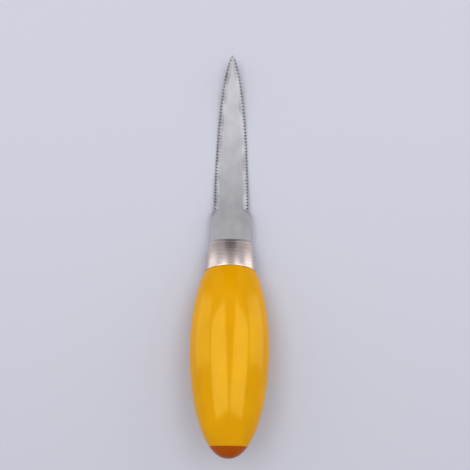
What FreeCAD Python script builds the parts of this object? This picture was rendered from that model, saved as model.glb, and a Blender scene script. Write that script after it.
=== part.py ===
# Grapefruit knife: a curved blade with teeth along both edges, a steel bolster,
# a moulded oval handle and the cap that closes its butt.
# It is drawn along Y, tip towards +Y, with Y = 0 at the widest section of the
# handle, and is then laid down as it rests on a table. Millimetres and degrees.

import FreeCAD, Part
import math
import os

Vector = FreeCAD.Vector

# Handle
handle_width = 31.9        # across the widest section
handle_thickness = 21.0    # from belly to back, at the same section
front_length = 30.3        # widest section to the bolster, along the sides
rear_length = 43.6         # widest section to the end of the butt
butt_fullness = 0.94       # lower values make the butt blunter
neck_width = 20.9          # where the handle meets the bolster
neck_thickness = 12.0      # it tapers faster in the side view than from above
shoulder_arch = 1.2        # how far the handle reaches forward over top and belly
handle_bands = 30          # straight ruled bands that the form is made of

# Bolster
bolster_length = 13.1      # along the sides
mouth_width = 18.4
mouth_thickness = 9.8
bolster_bulge = 0.2        # how far its side stands out from a straight taper
bolster_round = 1.5        # of the front edge
rim_step = 0.25            # how far its rear edge stands out from the handle
side_bands = 6             # ruled bands along its sides
round_bands = 3            # and in the round of its front edge

# Blade, measured along its middle line
blade_thickness = 1.5
ricasso_length = 14.1      # plain stretch next to the bolster
ricasso_width = 16.3
toothed_length = 67.8
toothed_width = 14.9       # at the heel, over the tooth tips
outline_fullness = 1.143   # lower values make the point blunter
bend_radius = 150.0        # the toothed part curves upwards, as round a fruit
heel_blend = 1.6           # length of the step between ricasso and teeth

# Edge
edge_land = 0.25           # thickness left at the edge
bevel_width = 2.4
tooth_pitch = 1.41
tooth_depth = 0.65
tooth_land = 0.06          # left between two gullets, at the top of the edge
tooth_margin = 1.2         # no gullet starts nearer to the tip than this
cutter_reach = 1.0         # how far a cutting solid goes past what it cuts

# Tang, inside the handle
tang_width = 10.0
tang_length = 36.0

# Butt cap and the core that it closes
cap_length = 4.45
cap_bands = 6
butt_flat = 1.6            # width of the flat spot at the very end
core_wall = 2.0            # left round the core where the cap sits
core_length = 42.0
cap_plug_length = 6.0

# Fits
fit_clearance = 0.1        # round the tang and the plug of the cap

top_length = front_length + shoulder_arch
plan_reach = front_length / math.sqrt(1.0 - (neck_width / handle_width) ** 2)
side_reach = top_length / math.sqrt(1.0 - (neck_thickness / handle_thickness) ** 2)
mouth_y = front_length + bolster_length
heel_y = mouth_y + ricasso_length
cap_y = cap_length - rear_length


def line(a, b):
    return Part.LineSegment(a, b).toShape()


def block(x0, x1, y0, y1, z0, z1):
    return Part.makeBox(x1 - x0, y1 - y0, z1 - z0, Vector(x0, y0, z0))


# Every outer form is a stack of ovals along Y, joined by straight ruled bands
def oval(y, half_width, half_height):
    centre = Vector(0, y, 0)
    side = Vector(half_width, y, 0)
    top = Vector(0, y, half_height)
    return Part.Wire(Part.Ellipse(side, top, centre).toShape())


def stacked(outline, inset=0.0):
    """Solid through ovals, from the places (y, half width, half height) along it."""
    ovals = [oval(y, width - inset, height - inset) for y, width, height in outline]
    return Part.makeLoft(ovals, True, True)


# Handle and cap: the sides follow one ellipse from the widest section to the bolster, and a
# longer one to the butt. Top and belly do the same, with an ellipse of their own in front.
# Equal turns divide the form, so that bands are narrow where it curves most
def form_place(turn):
    if turn < 0.0:
        share = math.cos(turn) ** butt_fullness
        return rear_length * math.sin(turn), handle_width / 2.0 * share, handle_thickness / 2.0 * share
    y = plan_reach * math.sin(turn)
    rise = math.sqrt(1.0 - (y / side_reach) ** 2)
    return y, handle_width / 2.0 * math.cos(turn), handle_thickness / 2.0 * rise


seam_turn = math.asin(cap_y / rear_length)
neck_turn = math.asin((front_length + 2.0 * shoulder_arch) / plan_reach)
seam_width, seam_height = form_place(seam_turn)[1:]


def handle_outline():
    step = (neck_turn - seam_turn) / handle_bands
    return [form_place(seam_turn + step * i) for i in range(handle_bands + 1)]


def cap_outline():
    start = -math.acos(butt_flat / handle_width)
    step = (seam_turn - start) / cap_bands
    return [form_place(start + step * i) for i in range(cap_bands + 1)]


def bolster_side(y, start_y, start, end_y, end):
    share = (y - start_y) / (end_y - start_y)
    return start + (end - start) * share + bolster_bulge * 4.0 * max(0.0, share * (1.0 - share))


def bolster_outline():
    mouth = (mouth_width / 2.0, mouth_thickness / 2.0)
    side_end = mouth_y - bolster_round
    rear_end = front_length - 2.0 * shoulder_arch
    outline = []
    for i in range(side_bands + 1):
        y = rear_end + (side_end - rear_end) * i / float(side_bands)
        width = bolster_side(y, front_length, neck_width / 2.0 + rim_step, side_end, mouth[0])
        height = bolster_side(y, top_length, neck_thickness / 2.0 + rim_step, side_end, mouth[1])
        outline.append((y, width, height))
    for i in range(1, round_bands + 1):
        turn = math.pi / 2.0 * i / round_bands
        lost = bolster_round * (1.0 - math.cos(turn))
        outline.append((side_end + bolster_round * math.sin(turn), mouth[0] - lost, mouth[1] - lost))
    return outline


# Joint between bolster and handle: the same round surface cuts both
def shoulder_cylinder():
    rise = neck_thickness / 2.0
    radius = (rise ** 2 + shoulder_arch ** 2) / (2.0 * shoulder_arch)
    axis_start = Vector(-handle_width, front_length + radius, 0)
    return Part.makeCylinder(radius, 2.0 * handle_width, axis_start, Vector(1, 0, 0))


def tang_slot(y0, y1):
    half_width = tang_width / 2.0 + fit_clearance
    half_thickness = blade_thickness / 2.0 + fit_clearance
    return block(-half_width, half_width, y0, y1, -half_thickness, half_thickness)


def make_bolster():
    body = stacked(bolster_outline()).common(shoulder_cylinder())
    return body.cut(tang_slot(0.0, mouth_y + cutter_reach))


# The handle is cored out from the butt, and the plug of the cap closes the core
def core(inset, length):
    ends = [(y, seam_width, seam_height) for y in (cap_y, cap_y + length)]
    return stacked(ends, core_wall + inset)


def make_handle():
    body = stacked(handle_outline()).cut(shoulder_cylinder())
    body = body.cut(tang_slot(mouth_y - tang_length - fit_clearance, mouth_y))
    return body.cut(core(0.0, core_length))


def make_end_cap():
    return stacked(cap_outline()).fuse(core(fit_clearance, cap_plug_length))


# Places on the blade. along is measured on its middle line from the bolster, height from
# the middle of its thickness
def bend_angle(along):
    return max(0.0, along - ricasso_length) / bend_radius


def blade_place(x, along, height):
    angle = bend_angle(along)
    straight = min(along, ricasso_length)
    y = mouth_y + straight + (bend_radius - height) * math.sin(angle)
    z = bend_radius - (bend_radius - height) * math.cos(angle)
    return Vector(x, y, z)


def half_width(from_tip):
    share = min(max(from_tip / toothed_length, 0.0), 1.0)
    return toothed_width / 2.0 * (1.0 - (1.0 - share) ** 2) ** (outline_fullness / 2.0)


def toothed_outline():
    """Both toothed edges seen from above, as one curve from heel to heel round the tip."""
    points = []
    for angle in range(-90, 91, 10):
        from_tip = toothed_length * (1.0 - math.cos(math.radians(angle)))
        along = ricasso_length + toothed_length - from_tip
        side = math.copysign(1.0, angle)
        place = blade_place(side * half_width(from_tip), along, 0.0)
        points.append(Vector(place.x, place.y, 0))
    curve = Part.BSplineCurve()
    curve.interpolate(Points=points)
    return curve.toShape()


def plan_face():
    """The blade and its tang seen from above."""
    heel_x = toothed_width / 2.0
    step_x = ricasso_width / 2.0
    blend_radius = ((step_x - heel_x) ** 2 + heel_blend ** 2) / (2.0 * (step_x - heel_x))
    blend_turn = math.atan2(heel_blend, blend_radius - (step_x - heel_x)) / 2.0
    heel = Vector(heel_x, heel_y, 0)
    blend_mid = heel + Vector(1.0 - math.cos(blend_turn), -math.sin(blend_turn), 0) * blend_radius
    step = Vector(step_x, heel_y - heel_blend, 0)
    shoulder = Vector(step_x, mouth_y, 0)
    tang_x = tang_width / 2.0
    tang_end = mouth_y - tang_length
    lean = math.sqrt(0.5) * tang_x
    tang_corner = Vector(tang_x, mouth_y, 0)
    tang_side = Vector(tang_x, tang_end + tang_x, 0)
    tang_mid = Vector(lean, tang_end + tang_x - lean, 0)
    tang_back = Vector(0, tang_end, 0)
    right = [Part.Arc(heel, blend_mid, step).toShape(), line(step, shoulder),
             line(shoulder, tang_corner), line(tang_corner, tang_side),
             Part.Arc(tang_side, tang_mid, tang_back).toShape()]
    left = [edge.mirror(Vector(0, 0, 0), Vector(1, 0, 0)) for edge in right]
    return Part.Face(Part.Wire(Part.sortEdges([toothed_outline()] + right + left)[0]))


def side_strip():
    """The blade seen from its side: straight at the tang, then curving up."""
    half = blade_thickness / 2.0
    back_y = mouth_y - tang_length - cutter_reach
    sweep = ricasso_length + toothed_length + cutter_reach
    middle = ricasso_length + toothed_length / 2.0
    top = [blade_place(0, along, half) for along in (ricasso_length, middle, sweep)]
    low = [blade_place(0, along, -half) for along in (ricasso_length, middle, sweep)]
    top_back = Vector(0, back_y, half)
    low_back = Vector(0, back_y, -half)
    edges = [line(top_back, top[0]), Part.Arc(*top).toShape(), line(top[2], low[2]),
             Part.Arc(*reversed(low)).toShape(), line(low[0], low_back), line(low_back, top_back)]
    face = Part.Face(Part.Wire(edges))
    face.translate(Vector(-handle_width, 0, 0))
    return face.extrude(Vector(2.0 * handle_width, 0, 0))


def bevel_section(along, lift):
    slope = (blade_thickness - edge_land) / bevel_width
    edge_x = half_width(ricasso_length + toothed_length - along)
    low = edge_land - blade_thickness / 2.0 - slope * cutter_reach + lift
    high = blade_thickness / 2.0 + slope * cutter_reach + lift
    outer = edge_x + cutter_reach
    inner = edge_x - bevel_width - cutter_reach
    corners = [blade_place(outer, along, low), blade_place(inner, along, high),
               blade_place(outer, along, high)]
    return Part.makePolygon(corners + [corners[0]])


def bevel_cutter():
    """What the grinding wheel takes off along the right hand edge."""
    lifted = blade_thickness
    sections = [bevel_section(ricasso_length - 2.0 * heel_blend, lifted)]
    for angle in range(90, -1, -10):
        from_tip = toothed_length * (1.0 - math.cos(math.radians(angle)))
        sections.append(bevel_section(ricasso_length + toothed_length - from_tip, 0.0))
    sections.append(bevel_section(ricasso_length + toothed_length + cutter_reach, 0.0))
    return Part.makeLoft(sections, True, True)


def gullet_cutter(along):
    """Three sided cutter for the gullet between two teeth of the right hand edge. Its keel
    rises inwards, so that the groove is deepest at the edge and fades out on the bevel."""
    from_tip = ricasso_length + toothed_length - along
    step = tooth_pitch / 4.0
    spread = (half_width(from_tip + step) - half_width(from_tip - step)) / (2.0 * step)
    angle = bend_angle(along)
    normal = Vector(0, -math.sin(angle), math.cos(angle))
    outward = Vector(1, 0, 0) + Vector(0, math.cos(angle), math.sin(angle)) * spread
    outward.normalize()
    steepness = math.atan2(blade_thickness, bevel_width - tooth_depth)
    into = normal * math.sin(steepness) - outward * math.cos(steepness)
    away = normal * math.cos(steepness) + outward * math.sin(steepness)
    depth = edge_land * math.cos(steepness) + tooth_depth * math.sin(steepness)
    rise = depth + tooth_land / 4.0
    spread_half = (tooth_pitch - tooth_land) / 2.0 * rise / depth
    edge = blade_place(half_width(from_tip), along, -blade_thickness / 2.0)
    keel = edge - outward * tooth_depth - into * bevel_width
    sideways = into.cross(away) * spread_half
    corners = [keel, keel + away * rise + sideways, keel + away * rise - sideways, keel]
    return Part.Face(Part.makePolygon(corners)).extrude(into * (2.0 * bevel_width))


def make_blade():
    plan = plan_face()
    plan.translate(Vector(0, 0, -bend_radius))
    body = plan.extrude(Vector(0, 0, 2.0 * bend_radius)).common(side_strip())
    teeth = int((toothed_length - tooth_margin) / tooth_pitch)
    gullets = [gullet_cutter(ricasso_length + tooth_pitch * (i + 0.5)) for i in range(teeth)]
    for side in (1, -1):
        cutters = [bevel_cutter()] + gullets
        if side < 0:
            cutters = [cutter.mirror(Vector(0, 0, 0), Vector(1, 0, 0)) for cutter in cutters]
        body = body.cut(cutters[0])
        body = body.cut(cutters[1:])
    return body


# The knife as it lies: tipped forward until the curved blade touches the table as well as
# the belly. The table line through a place of the belly is a tangent of the underside
def table_pitch(y, drop):
    rise = bend_radius + drop
    reach = heel_y - y
    underside = bend_radius + blade_thickness / 2.0
    return math.acos(underside / math.hypot(rise, reach)) - math.atan2(reach, rise)


def laid_down(pieces):
    rest_pitch = math.degrees(max(table_pitch(y, height) for y, width, height in handle_outline()))
    for shape in pieces.values():
        shape.rotate(Vector(0, 0, 0), Vector(1, 0, 0), -rest_pitch)
    box = Part.makeCompound(list(pieces.values())).optimalBoundingBox(False)
    shift = Vector(0, -(box.YMin + box.YMax) / 2.0, -box.ZMin)
    for shape in pieces.values():
        shape.translate(shift)
    print("rest pitch", round(rest_pitch, 3), "moved by", shift)
    return pieces


pieces = laid_down({
    "blade": make_blade(),
    "bolster": make_bolster(),
    "handle": make_handle(),
    "end_cap": make_end_cap(),
})

os.makedirs("parts", exist_ok=True)
for name, shape in pieces.items():
    shape.exportStep("parts/" + name + ".step")
    print(name, len(shape.Solids), round(shape.Volume, 1), shape.isValid())
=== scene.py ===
import bpy
import bmesh
import math
from mathutils import Matrix, Vector


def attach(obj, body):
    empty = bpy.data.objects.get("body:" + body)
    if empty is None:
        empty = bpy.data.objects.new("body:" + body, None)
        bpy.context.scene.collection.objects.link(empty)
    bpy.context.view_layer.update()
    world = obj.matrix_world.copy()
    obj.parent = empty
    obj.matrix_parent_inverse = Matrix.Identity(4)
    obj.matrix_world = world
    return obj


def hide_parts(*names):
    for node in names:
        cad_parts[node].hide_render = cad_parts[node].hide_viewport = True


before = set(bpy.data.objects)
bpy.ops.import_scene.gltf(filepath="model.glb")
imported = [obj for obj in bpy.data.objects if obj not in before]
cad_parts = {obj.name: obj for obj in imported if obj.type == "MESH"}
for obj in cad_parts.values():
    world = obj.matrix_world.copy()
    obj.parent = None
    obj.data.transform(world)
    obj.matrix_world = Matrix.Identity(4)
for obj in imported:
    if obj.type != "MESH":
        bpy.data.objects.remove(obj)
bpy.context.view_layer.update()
print("frame loaded:", sorted(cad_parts))

# Metres. The knife is drawn along Y with the widest section of its handle at Y = 0,
# and "lying" turns and moves it to where it lies on the floor
lying = {
    "pitch": 9.354,
    "shift": (0.0, -0.04034328, 0.01209002),
}
layDown = (Matrix.Translation(lying["shift"])
           @ Matrix.Rotation(math.radians(-lying["pitch"]), 4, "X"))


def quarterTurn(steps):
    return [math.pi / 2 * i / steps for i in range(1, steps + 1)]


def ringPiece(name, rings, closed=False, sharp=35.0):
    # a skin through rings of points; closed joins the last ring to the first
    mesh = bpy.data.meshes.new(name)
    points = [layDown @ point for ring in rings for point in ring]
    count = len(rings[0])
    total = len(rings)
    faces = []
    for i in range(total if closed else total - 1):
        low, high = i * count, (i + 1) % total * count
        for k in range(count):
            after = (k + 1) % count
            faces.append((low + k, low + after, high + after, high + k))
    if not closed:
        faces.append(tuple(reversed(range(count))))
        faces.append(tuple(range((total - 1) * count, total * count)))
    mesh.from_pydata(points, [], faces)
    work = bmesh.new()
    work.from_mesh(mesh)
    bmesh.ops.recalc_face_normals(work, faces=work.faces)
    work.to_mesh(mesh)
    work.free()
    mesh.polygons.foreach_set("use_smooth", [True] * len(mesh.polygons))
    mesh.set_sharp_from_angle(angle=math.radians(sharp))
    piece = bpy.data.objects.new(name, mesh)
    bpy.context.scene.collection.objects.link(piece)
    return piece


def standFor(piece, node, slot, *materials):
    for material in materials:
        piece.data.materials.append(material)
    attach(piece, "root")
    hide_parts(node)


def setInputs(node, inputs):
    # an underscore stands for the space in an input's name
    for name, value in inputs.items():
        node.inputs[name.replace("_", " ")].default_value = value


def addNode(tree, kind, **inputs):
    node = tree.nodes.new("ShaderNode" + kind)
    setInputs(node, inputs)
    return node


def newMaterial(name, **inputs):
    material = bpy.data.materials.new(name)
    material.use_nodes = True
    setInputs(material.node_tree.nodes["Principled BSDF"], inputs)
    return material


def streaks(tree, look):
    # noise in the knife's own axes, drawn out by the three values of the stretch
    place = addNode(tree, "TexCoord")
    lay = addNode(tree, "Mapping", Rotation=(math.radians(lying["pitch"]), 0, 0))
    squeeze = addNode(tree, "Mapping", Scale=look["stretch"])
    noise = addNode(tree, "TexNoise", Scale=look["scale"], Detail=look["detail"])
    tree.links.new(place.outputs["Object"], lay.inputs["Vector"])
    tree.links.new(lay.outputs["Vector"], squeeze.inputs["Vector"])
    tree.links.new(squeeze.outputs["Vector"], noise.inputs["Vector"])
    return noise.outputs["Fac"]


def spread(tree, value, low, high):
    # noise seldom leaves 0.3 to 0.7, which becomes low to high here
    node = addNode(tree, "MapRange", From_Min=0.3, From_Max=0.7, To_Min=low, To_Max=high)
    tree.links.new(value, node.inputs["Value"])
    return node.outputs["Result"]


def blend(tree, value, first, second):
    node = tree.nodes.new("ShaderNodeMix")
    node.data_type = "RGBA"
    node.inputs[6].default_value = (*first, 1)
    node.inputs[7].default_value = (*second, 1)
    tree.links.new(spread(tree, value, 0.0, 1.0), node.inputs[0])
    return node.outputs[2]


def dress(material, clouds, lines, finish):
    # clouds vary the colour, and fine lines the roughness and the relief
    tree = material.node_tree
    shader = tree.nodes["Principled BSDF"]
    relief = addNode(tree, "Bump", Distance=finish["depth"], Strength=finish["strength"])
    cloudNoise = streaks(tree, clouds)
    lineNoise = streaks(tree, lines)
    tree.links.new(blend(tree, cloudNoise, *finish["colours"]), shader.inputs["Base Color"])
    tree.links.new(spread(tree, lineNoise, *finish["roughness"]), shader.inputs["Roughness"])
    tree.links.new(lineNoise, relief.inputs["Height"])
    tree.links.new(relief.outputs["Normal"], shader.inputs["Normal"])


steel = {
    "clouds": {"scale": 260, "stretch": (1, 0.6, 1), "detail": 4.0},
    "plain": {
        "colours": ((0.35, 0.348, 0.365), (0.41, 0.407, 0.425)),
        "roughness": (0.34, 0.42),
        "lines": {"scale": 1400, "stretch": (0.10, 2.0, 1), "detail": 6.0},
        "depth": 0.000002,
        "strength": 0.02,
    },
    "ground": {
        "colours": ((0.34, 0.338, 0.355), (0.60, 0.597, 0.62)),
        "roughness": (0.42, 0.58),
        "lines": {"scale": 2600, "stretch": (0.8, 1.2, 1), "detail": 6.0},
        "depth": 0.00002,
        "strength": 0.5,
    },
    # painted shade: a much darker steel that stands for the shade in the hollows of the gullets
    "gullet": {
        "colours": ((0.07, 0.07, 0.08), (0.16, 0.16, 0.17)),
        "roughness": (0.42, 0.58),
        "lines": {"scale": 2600, "stretch": (0.8, 1.2, 1), "detail": 6.0},
        "depth": 0.00002,
        "strength": 0.5,
    },
    "bolster": {
        "colours": ((0.62, 0.53, 0.50), (0.70, 0.605, 0.57)),
        "roughness": (0.20, 0.32),
        "lines": {"scale": 1500, "stretch": (0.06, 2.2, 0.06), "detail": 6.0},
        "depth": 0.00001,
        "strength": 0.35,
    },
}


def steelMaterial(name, finish):
    material = newMaterial(name, Metallic=1.0)
    dress(material, steel["clouds"], finish["lines"], finish)
    return material


bladeSteel = steelMaterial("blade steel", steel["plain"])
groundSteel = steelMaterial("ground steel", steel["ground"])
# painted shade for the gullets of the teeth
gulletShadeSteel = steelMaterial("gullet painted shade", steel["gullet"])
bolsterSteel = steelMaterial("bolster steel", steel["bolster"])
print("steel made")

plastic = {
    "gloss": (1.0, 0.84, 0.16),     # tint of what it reflects
    "shine": 0.68,
    "clouds": {"scale": 120, "stretch": (1, 0.5, 1), "detail": 3.0},
    "scratches": {"scale": 1800, "stretch": (1.4, 0.05, 1.4), "detail": 5.0},
    "handle": {
        "colours": ((0.73, 0.326, 0.0002), (0.82, 0.378, 0.0008)),
        "roughness": (0.10, 0.16),
        "depth": 0.000006,
        "strength": 0.16,
    },
    "cap": {
        "colours": ((0.36, 0.042, 0.0002), (0.44, 0.070, 0.001)),
        "roughness": (0.12, 0.18),
        "depth": 0.000006,
        "strength": 0.16,
    },
}


def plasticMaterial(name, finish):
    material = newMaterial(name, Specular_Tint=(*plastic["gloss"], 1),
                           Specular_IOR_Level=plastic["shine"])
    dress(material, plastic["clouds"], plastic["scratches"], finish)
    return material


handlePlastic = plasticMaterial("handle plastic", plastic["handle"])
capPlastic = plasticMaterial("cap plastic", plastic["cap"])
print("plastic made")

handle = {
    "width": 0.0319,
    "thickness": 0.0210,
    "frontLength": 0.0303,
    "rearLength": 0.0436,
    "buttFullness": 0.94,
    "neckWidth": 0.0209,
    "neckThickness": 0.0120,
    "arch": 0.0012,         # of the joint with the bolster, seen from the side
    "inset": 0.00002,       # keeps the smooth form inside the banded one of the frame
    "edgeRound": 0.00018,   # of the edges at the cap's seam
    "edgeRings": 4,
    "rings": 120,           # from the cap to the joint
    "around": 160,          # points in every ring of handle, cap and bolster
    "slotLength": 0.0231,
    "coreLength": 0.0420,
    "coreWall": 0.0020,
}
topLength = handle["frontLength"] + handle["arch"]
planReach = handle["frontLength"] / math.sqrt(1 - (handle["neckWidth"] / handle["width"]) ** 2)
sideReach = topLength / math.sqrt(1 - (handle["neckThickness"] / handle["thickness"]) ** 2)
turnsAround = [2 * math.pi * i / handle["around"] for i in range(handle["around"])]

endCap = {
    "length": 0.00445,
    "flat": 0.0016,         # width of the flat spot at the very end
    "rings": 40,
    "plugLength": 0.0060,
    "plugGap": 0.0001,
}
capY = endCap["length"] - handle["rearLength"]

bolster = {
    "length": 0.0131,
    "mouthWidth": 0.0184,
    "mouthThickness": 0.0098,
    "bulge": 0.0002,
    "frontRound": 0.0015,
    "rim": 0.00025,         # stands out from the handle by this
    "rimRound": 0.00014,
    "rimRings": 4,
    "slotWidth": 0.0102,
    "slotThickness": 0.0017,
    "sideRings": 26,
    "roundRings": 12,
}
mouthY = handle["frontLength"] + bolster["length"]
sideEnd = mouthY - bolster["frontRound"]


def handleHalf(y):
    # half width and half height of the handle and cap at a place along it
    halfWidth = handle["width"] / 2
    halfHeight = handle["thickness"] / 2
    if y < 0:
        share = (1 - (y / handle["rearLength"]) ** 2) ** (handle["buttFullness"] / 2)
        return halfWidth * share, halfHeight * share
    return (halfWidth * math.sqrt(1 - (y / planReach) ** 2),
            halfHeight * math.sqrt(1 - (y / sideReach) ** 2))


def bolsterHalf(y):
    sizes = []
    for start, neck, mouth in ((handle["frontLength"], handle["neckWidth"], bolster["mouthWidth"]),
                               (topLength, handle["neckThickness"], bolster["mouthThickness"])):
        share = (y - start) / (sideEnd - start)
        first = neck / 2 + bolster["rim"]
        bulge = bolster["bulge"] * 4 * max(0.0, share * (1 - share))
        sizes.append(first + (mouth / 2 - first) * share + bulge - handle["inset"])
    return sizes


def jointY(z):
    # the joint between handle and bolster follows a round surface
    rise = handle["neckThickness"] / 2
    radius = (rise ** 2 + handle["arch"] ** 2) / (2 * handle["arch"])
    return handle["frontLength"] + radius - math.sqrt(radius ** 2 - z ** 2)


def archedEnds(halfAt):
    # where each line along the form meets the joint; a few steps close in on it
    ends = []
    for turn in turnsAround:
        y = handle["frontLength"]
        for step in range(4):
            y = jointY(halfAt(y)[1] * math.sin(turn))
        ends.append(y)
    return ends


def ovalPoint(turn, y, halfWidth, halfHeight):
    return Vector((halfWidth * math.cos(turn), y, halfHeight * math.sin(turn)))


def ovalRing(y, halfWidth, halfHeight):
    return [ovalPoint(turn, y, halfWidth, halfHeight) for turn in turnsAround]


def handleRing(y, lost):
    # an oval of the handle's form, made smaller all round by what is lost
    return ovalRing(y, *[size - lost for size in handleHalf(y)])


def archedRing(places, halfAt, lost):
    # a ring with a place along of its own for every point
    ring = []
    for turn, y in zip(turnsAround, places):
        halfWidth, halfHeight = halfAt(y)
        ring.append(ovalPoint(turn, y, halfWidth - lost, halfHeight - lost))
    return ring


def slotRing(placeAt):
    # the slot's rectangle, with as many points as an oval
    ring = []
    for turn in turnsAround:
        across, up = math.cos(turn), math.sin(turn)
        reach = 1 / max(abs(across), abs(up))
        z = bolster["slotThickness"] / 2 * up * reach
        ring.append(Vector((bolster["slotWidth"] / 2 * across * reach, placeAt(z), z)))
    return ring


def seamRings(side):
    # the rounded edge at the seam; side is 1 on the handle and -1 on the cap
    rings = []
    for turn in quarterTurn(handle["edgeRings"]):
        y = capY + side * handle["edgeRound"] * (1 - math.sin(turn))
        lost = handle["edgeRound"] * (1 - math.cos(turn)) + handle["inset"]
        rings.append(handleRing(y, lost))
    return rings


def addHandle():
    # in through the slot for the tang, back along the outside, and in again to the core
    slotEnd = handle["frontLength"] - handle["slotLength"]
    core = [size - handle["coreWall"] for size in handleHalf(capY)]
    firstTurn = math.asin((capY + handle["edgeRound"]) / handle["rearLength"])
    ends = archedEnds(handleHalf)
    body = []
    for i in range(handle["rings"] + 1):
        share = i / handle["rings"]
        places = []
        for end in ends:
            lastTurn = math.asin(end / planReach)
            along = firstTurn + (lastTurn - firstTurn) * share
            reach = handle["rearLength"] if along < 0 else planReach
            places.append(reach * math.sin(along))
        body.append(archedRing(places, handleHalf, handle["inset"]))
    rings = [slotRing(lambda z: slotEnd), slotRing(jointY), *reversed(body), *seamRings(1)]
    rings.append(ovalRing(capY, *core))
    rings.append(ovalRing(capY + handle["coreLength"], *core))
    piece = ringPiece("smooth_handle", rings)
    standFor(piece, "handle", "handle_plastic", handlePlastic)


def addEndCap():
    plug = [size - handle["coreWall"] - endCap["plugGap"] for size in handleHalf(capY)]
    firstTurn = -math.acos(endCap["flat"] / handle["width"])
    lastTurn = math.asin((capY - handle["edgeRound"]) / handle["rearLength"])
    rings = []
    for i in range(endCap["rings"] + 1):
        along = firstTurn + (lastTurn - firstTurn) * i / endCap["rings"]
        rings.append(handleRing(handle["rearLength"] * math.sin(along), handle["inset"]))
    rings += seamRings(-1)
    rings.append(ovalRing(capY, *plug))
    rings.append(ovalRing(capY + endCap["plugLength"], *plug))
    piece = ringPiece("smooth_cap", rings)
    standFor(piece, "end_cap", "cap_plastic", capPlastic)


def addBolster():
    # back through the slot, out over the rim, along the side and round the front edge
    ends = archedEnds(bolsterHalf)
    rim = bolster["rimRound"]
    rings = [slotRing(lambda z: mouthY), slotRing(jointY)]
    for turn in reversed(quarterTurn(bolster["rimRings"])):
        places = [end + rim * (1 - math.sin(turn)) for end in ends]
        rings.append(archedRing(places, bolsterHalf, rim * (1 - math.cos(turn))))
    for i in range(bolster["sideRings"] + 1):
        share = i / bolster["sideRings"]
        places = [end + rim + (sideEnd - end - rim) * share for end in ends]
        rings.append(archedRing(places, bolsterHalf, 0.0))
    mouth = bolsterHalf(sideEnd)
    for turn in quarterTurn(bolster["roundRings"]):
        lost = bolster["frontRound"] * (1 - math.cos(turn))
        rings.append(ovalRing(sideEnd + bolster["frontRound"] * math.sin(turn),
                              *[size - lost for size in mouth]))
    piece = ringPiece("smooth_bolster", rings, closed=True)
    standFor(piece, "bolster", "bolster_steel", bolsterSteel)


# Measured along its middle line from the bolster. The rings follow every tooth
blade = {
    "thickness": 0.00149,
    "ricassoLength": 0.0141,
    "ricassoWidth": 0.0163,
    "toothedLength": 0.0678,
    "toothedWidth": 0.0149,
    "outlineFullness": 1.143,
    "bendRadius": 0.150,
    "heelBlend": 0.0016,      # length of the step down to the teeth
    "edgeRound": 0.00012,     # of the plain stretch's upper edges
    "edgeLand": 0.00025,
    "bevelWidth": 0.0024,
    "toothPitch": 0.00141,
    "toothDepth": 0.00062,
    "toothLand": 0.22,        # share of the pitch
    "tipMargin": 0.0012,
    "fluteDepth": 0.00048,    # of the groove that runs from a gullet up the bevel
    "fluteReach": 0.0013,
    "shadeFrom": (0.20, 0.45, 0.75),     # painted shade from this share of the gullet on, by column from the edge
    "leastFlat": 0.00002,     # half width left between the bevels at the tip
    "leastThickness": 0.0001,
    "tangWidth": 0.0100,
    "tangLength": 0.0360,
    "shoulderStep": 0.00001,  # keeps the rings on either side of the shoulder apart
    "tipStep": 0.00001,       # the last ring stops short of the point by this
    "columns": (0.0, 0.10, 0.22, 0.36, 0.55, 0.78, 1.0),    # points across a bevel
    "ringsPerTooth": 12,
    "tangRings": 8,
    "ricassoRings": 8,
    "heelRings": 16,
    "tipRings": 12,
    "sharp": 24.0,            # degrees at which an edge is shaded sharp
}
bladeLength = blade["ricassoLength"] + blade["toothedLength"]
bevelStart = blade["ricassoLength"] - 2 * blade["heelBlend"]


def bladeHalfWidth(along):
    share = min(max((bladeLength - along) / blade["toothedLength"], 0.0), 1.0)
    return blade["toothedWidth"] / 2 * (1 - (1 - share) ** 2) ** (blade["outlineFullness"] / 2)


def bladePlace(x, along, height):
    # the outline is cut straight down, so that height doesn't change the place along
    straight = min(along, blade["ricassoLength"])
    reach = blade["bendRadius"] * math.sin(max(0.0, along - straight) / blade["bendRadius"])
    rise = math.sqrt((blade["bendRadius"] - height) ** 2 - reach ** 2)
    return Vector((x, mouthY + straight + reach, blade["bendRadius"] - rise))


def gulletShare(along):
    # 0 on a tooth and 1 in the middle of a gullet
    teeth = (along - blade["ricassoLength"]) / blade["toothPitch"]
    last = (blade["toothedLength"] - blade["tipMargin"]) // blade["toothPitch"]
    if teeth <= 0 or teeth >= last:
        return 0.0
    share = 1 - abs(2 * (teeth % 1) - 1)
    return max(0.0, share - blade["toothLand"]) / (1 - blade["toothLand"])


def underside(halfWidth):
    return [(halfWidth * share, -blade["thickness"] / 2) for share in (-1.0, -0.5, 0.0, 0.5, 1.0)]


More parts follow.
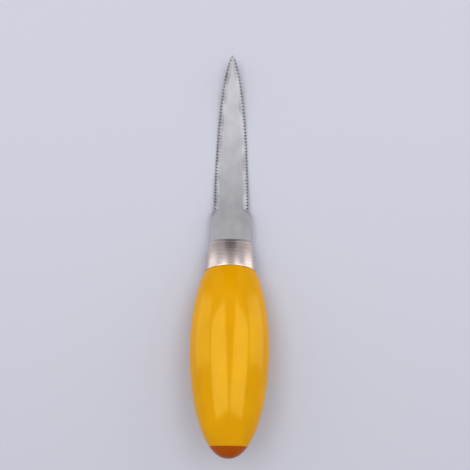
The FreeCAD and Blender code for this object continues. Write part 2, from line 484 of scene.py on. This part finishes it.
def bladeRing(along):
    half = blade["thickness"] / 2
    slope = (blade["thickness"] - blade["edgeLand"]) / blade["bevelWidth"]
    edge = bladeHalfWidth(along)
    fromHeel = blade["ricassoLength"] - along
    lift = blade["thickness"] * min(max(fromHeel / (2 * blade["heelBlend"]), 0.0), 1.0)
    gullet = gulletShare(along)
    outer = edge - blade["toothDepth"] * gullet * min(1.0, edge / blade["bevelWidth"])
    if fromHeel > 0:
        step = (blade["ricassoWidth"] - blade["toothedWidth"]) / 2
        outer += step * min(1.0, fromHeel / blade["heelBlend"]) ** 2
    corner = blade["edgeRound"]
    flat = max(min(edge - blade["bevelWidth"] + lift / slope, outer - corner), blade["leastFlat"])
    right = []
    for share in blade["columns"]:
        x = outer + (flat - outer) * share
        ground = blade["edgeLand"] - half + slope * (edge - x) + lift
        fade = max(0.0, 1 - (edge - x) / blade["fluteReach"])
        ground -= blade["fluteDepth"] * gullet * fade
        past = min(max(x - outer + corner, 0.0), corner)
        rounded = half - corner + math.sqrt(corner ** 2 - past ** 2)
        right.append((x, min(max(ground, blade["leastThickness"] - half), rounded)))
    right.append((flat / 2, right[-1][1]))
    top = right + [(0.0, right[-1][1])] + [(-x, z) for x, z in reversed(right)]
    return [bladePlace(x, along, z) for x, z in top + underside(outer)]


def tangRing(y, halfWidth):
    count = len(blade["columns"]) + 1
    top = [(halfWidth * (count - i) / count, blade["thickness"] / 2) for i in range(2 * count + 1)]
    return [Vector((x, y, z)) for x, z in top + underside(halfWidth)]


def bladePlaces():
    # the places of the rings along the blade, from the bolster nearly to the tip
    places = [bevelStart * i / blade["ricassoRings"] for i in range(blade["ricassoRings"] + 1)]
    places += [bevelStart + 2 * blade["heelBlend"] * i / blade["heelRings"]
               for i in range(1, blade["heelRings"] + 1)]
    perTooth = blade["ringsPerTooth"]
    teeth = int((blade["toothedLength"] - blade["tipMargin"]) / blade["toothPitch"])
    places += [blade["ricassoLength"] + blade["toothPitch"] * i / perTooth
               for i in range(1, teeth * perTooth + 1)]
    last = places[-1]
    # the last two turns would crowd the tip
    places += [last + (bladeLength - last) * math.sin(turn)
               for turn in quarterTurn(blade["tipRings"])[:-2]]
    return places


def markBevels(mesh, places, count):
    # material 1 on the bevels and 2, a darker steel of painted shade, in their gullets; the tang's
    # rings come first
    firstRing = blade["tangRings"] + 1
    topFaces = 2 * len(blade["columns"]) + 2
    for face in mesh.polygons:
        ring, k = divmod(face.index, count)
        step = ring - firstRing
        column = min(k, topFaces - 1 - k)
        if not 0 <= step < len(places) - 1 or not 0 <= column < len(blade["columns"]) - 1:
            continue
        along = (places[step] + places[step + 1]) / 2
        if along < bevelStart:
            continue
        # these gullet faces get the painted shade
        dark = column < len(blade["shadeFrom"]) and gulletShare(along) > blade["shadeFrom"][column]
        face.material_index = 2 if dark else 1


def addBlade():
    tangHalf = blade["tangWidth"] / 2
    tangEnd = mouthY - blade["tangLength"]
    rings = [tangRing(tangEnd + tangHalf * (1 - math.cos(turn)), tangHalf * math.sin(turn))
             for turn in quarterTurn(blade["tangRings"])]
    rings.append(tangRing(mouthY - blade["shoulderStep"], tangHalf))
    places = bladePlaces()
    rings += [bladeRing(along) for along in places]
    rings.append(bladeRing(bladeLength - blade["tipStep"]))
    piece = ringPiece("toothed_blade", rings, sharp=blade["sharp"])
    standFor(piece, "blade", "blade_steel", bladeSteel, groundSteel, gulletShadeSteel)
    markBevels(piece.data, places, len(rings[0]))


addHandle()
addEndCap()
print("handle and cap made")
addBolster()
addBlade()
print("bolster and blade made")

# Set to the photograph's view of the knife
camera = {
    "place": (0.001734, -0.051334, 0.334997),
    "tilt": 9.743,      # degrees from straight down, looking towards the tip
    "roll": 0.561,
    "lens": 61.7,
    "sensor": 36.0,
    "nearest": 0.01,
}


def addCamera():
    data = bpy.data.cameras.new("camera")
    data.lens = camera["lens"]
    data.sensor_width = camera["sensor"]
    data.clip_start = camera["nearest"]
    obj = bpy.data.objects.new("camera", data)
    bpy.context.scene.collection.objects.link(obj)
    tilt = Matrix.Rotation(math.radians(camera["tilt"]), 4, "X")
    roll = Matrix.Rotation(math.radians(camera["roll"]), 4, "Z")
    obj.matrix_world = Matrix.Translation(camera["place"]) @ tilt @ roll
    bpy.context.scene.camera = obj


# Two soft boxes overhead, in a V that opens towards the tip, a pale screen on either
# side, and a dark card beyond the tip that the bolster mirrors
studio = {
    "floor": {"size": 4.0, "place": (0, 0, -0.0002), "colour": (0.62, 0.625, 0.70)},
    "roughness": 0.9,       # of the floor and the card
    "world": (0.80, 0.81, 0.86),
    "worldStrength": 0.50,
    "lamps": {
        "left": {"place": (-0.27, 0.13, 0.62), "size": (0.40, 0.56), "turn": 14, "power": 1.60},
        "right": {"place": (0.27, 0.13, 0.62), "size": (0.38, 0.56), "turn": -14, "power": 1.40},
    },
    "darkCard": {"place": (0.0, 0.80, 0.47), "size": (0.50, 0.74), "colour": (0.03, 0.025, 0.022)},
    "screens": {
        "leftScreen": {"place": (-0.62, 0.22, 0.25), "size": (0.60, 0.36), "power": 0.72},
        "rightScreen": {"place": (0.62, 0.22, 0.25), "size": (0.60, 0.36), "power": 0.92},
    },
    "screensAim": (0, 0.02, 0),
}


def addLamp(name, lamp, turn):
    data = bpy.data.lights.new(name, "AREA")
    data.shape = "RECTANGLE"
    data.size, data.size_y = lamp["size"]
    data.energy = lamp["power"]
    obj = bpy.data.objects.new(name, data)
    obj.location = lamp["place"]
    obj.rotation_euler = turn
    bpy.context.scene.collection.objects.link(obj)


def paint(plane, name, colour):
    plane.data.materials.append(newMaterial(name, Base_Color=(*colour, 1),
                                            Roughness=studio["roughness"]))


def addFloor():
    bpy.ops.mesh.primitive_plane_add(size=studio["floor"]["size"],
                                     location=studio["floor"]["place"])
    floor = bpy.context.object
    floor.name = "floor"
    paint(floor, "floor", studio["floor"]["colour"])


def addDarkCard():
    bpy.ops.mesh.primitive_plane_add(size=1.0, location=studio["darkCard"]["place"],
                                     rotation=(math.radians(90), 0, 0))
    card = bpy.context.object
    card.name = "dark_card"
    card.scale = (*studio["darkCard"]["size"], 1)
    paint(card, "dark card", studio["darkCard"]["colour"])
    # only mirrored: it neither shows in the picture nor shades the floor
    card.visible_camera = False
    card.visible_diffuse = False
    card.visible_shadow = False


def addStudio():
    addFloor()
    addDarkCard()
    for name, lamp in studio["lamps"].items():
        addLamp(name, lamp, (0, 0, math.radians(lamp["turn"])))
    for name, lamp in studio["screens"].items():
        towards = Vector(studio["screensAim"]) - Vector(lamp["place"])
        addLamp(name, lamp, towards.to_track_quat("-Z", "Z").to_euler())
    world = bpy.data.worlds.new("studio")
    world.use_nodes = True
    background = world.node_tree.nodes["Background"]
    background.inputs["Color"].default_value = (*studio["world"], 1)
    background.inputs["Strength"].default_value = studio["worldStrength"]
    bpy.context.scene.world = world
    bpy.context.scene.view_settings.view_transform = "Standard"


addCamera()
addStudio()
print("camera and studio set")
